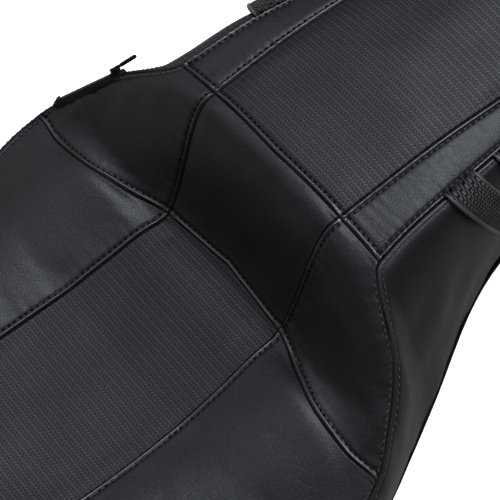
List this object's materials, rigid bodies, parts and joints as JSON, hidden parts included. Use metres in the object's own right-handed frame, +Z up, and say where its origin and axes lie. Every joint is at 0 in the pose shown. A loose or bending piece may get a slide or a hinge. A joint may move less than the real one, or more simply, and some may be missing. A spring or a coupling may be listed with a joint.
{
  "type": "motorcycle seat",
  "caption": "Two-up touring motorcycle seat: wide rider bucket, upright riser and narrower raised pillion pad, sewn black vinyl over foam on a moulded pan, with side straps and steel mounts.",
  "frame": {"origin": "under the middle of the bounding box, on the plane of the rubber bumpers' feet", "axes": "+X forward to the nose, +Y to the rider's left, +Z up"},
  "size_m": [0.8008, 0.4375, 0.2033],
  "materials": {
    "smooth_vinyl": "fine grain, semi-matt",
    "woven_vinyl": "embossed weave, semi-matt",
    "strap_vinyl": "embossed weave, matt",
    "foam": "open-cell, matt",
    "pan_plastic": "moulded, textured",
    "trim_rubber": "extruded, semi-matt",
    "bumper_rubber": "moulded, matt",
    "black_steel": "black powder coat",
    "zinc_steel": "black zinc",
    "rivet_aluminium": "plain",
    "zip_fabric": "woven tape",
    "zip_plastic": "moulded",
    "slider_metal": "black enamel",
    "pull_rubber": "moulded, matt"
  },
  "bodies": {
    "seat": {"bumper_screws": "zinc_steel", "edge_trim": "trim_rubber", "front_tongue": "black_steel", "nose_panel": "smooth_vinyl", "pan_bumpers": "bumper_rubber", "pillion_foam": "foam", "pillion_insert": "woven_vinyl", "pillion_panel_left": "smooth_vinyl", "pillion_panel_right": "smooth_vinyl", "rear_tab": "black_steel", "rider_foam": "foam", "rider_insert": "woven_vinyl", "rider_panel_left": "smooth_vinyl", "rider_panel_right": "smooth_vinyl", "riser_centre": "smooth_vinyl", "riser_left": "smooth_vinyl", "riser_right": "smooth_vinyl", "seat_pan": "pan_plastic", "side_strap_front_left": "strap_vinyl", "side_strap_front_right": "strap_vinyl", "side_strap_rear_left": "strap_vinyl", "side_strap_rear_right": "strap_vinyl", "skirt_left": "smooth_vinyl", "skirt_right": "smooth_vinyl", "strap_plates": "black_steel", "strap_screws": "zinc_steel", "tab_rivets": "rivet_aluminium", "tail_panel": "smooth_vinyl", "tongue_rivets": "rivet_aluminium", "zip_stop": "zip_plastic", "zip_tape": "zip_fabric", "zip_teeth": "zip_plastic"},
    "slider": {"zip_slider": "slider_metal"},
    "pull": {"zip_pull": "pull_rubber"}
  },
  "joints": [
    {"name": "zip_run", "type": "slide", "parent": "seat", "child": "slider", "axis": [0.572, -0.5545, -0.6044], "range_m": [0, 0.0549]},
    {"name": "pull_swing", "type": "hinge", "parent": "slider", "child": "pull", "pos_m": [0.00205, -0.16383, 0.14522], "axis": [0.7747, 0.6073, 0.176], "range_deg": [-2, 150]}
  ]
}
